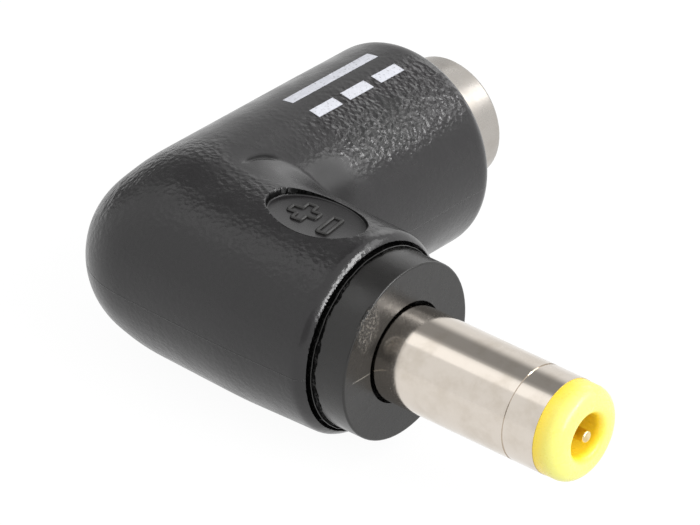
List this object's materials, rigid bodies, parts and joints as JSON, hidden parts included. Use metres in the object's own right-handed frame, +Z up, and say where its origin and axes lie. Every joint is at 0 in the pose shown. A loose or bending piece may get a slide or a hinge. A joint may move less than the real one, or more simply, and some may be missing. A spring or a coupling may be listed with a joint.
{
  "type": "right-angle dc barrel plug adapter",
  "caption": "Right-angle dc power adapter: a moulded elbow with a 5.5 mm barrel plug on one leg and a matching pin socket on the other.",
  "frame": {"origin": "on the barrel's axis, where the barrel leaves the collar's front face", "axes": "+X out along the barrel, +Y the way the socket faces, +Z up, square to both legs"},
  "size_m": [0.0329, 0.0271, 0.0122],
  "materials": {
    "housing": "spark-grained satin",
    "inner_mould": "moulded",
    "collar": "smooth",
    "nickel": "nickel plate",
    "tip": "smooth",
    "contact": "plated",
    "natural_plastic": "moulded",
    "fibre": "plain",
    "tinned": "tinned",
    "socket_base": "moulded",
    "copper": "stranded",
    "red_jacket": "smooth",
    "black_jacket": "smooth",
    "solder": "bright"
  },
  "bodies": {
    "root": {"housing": "housing", "inner_mould": "inner_mould", "collar": "collar", "barrel_sleeve": "nickel", "tip_insulator": "tip", "plug_pin": "contact", "plug_core": "natural_plastic", "plug_washer": "fibre", "plug_lug": "tinned", "socket_shell": "nickel", "socket_base": "socket_base", "socket_pin": "nickel", "socket_spring": "contact", "socket_washer": "fibre", "socket_lug": "tinned", "positive_strands": "copper", "positive_jacket": "red_jacket", "negative_strands": "copper", "negative_jacket": "black_jacket", "plug_pin_solder": "solder", "plug_lug_solder": "solder", "socket_pin_solder": "solder", "socket_lug_solder": "solder"}
  },
  "joints": []
}
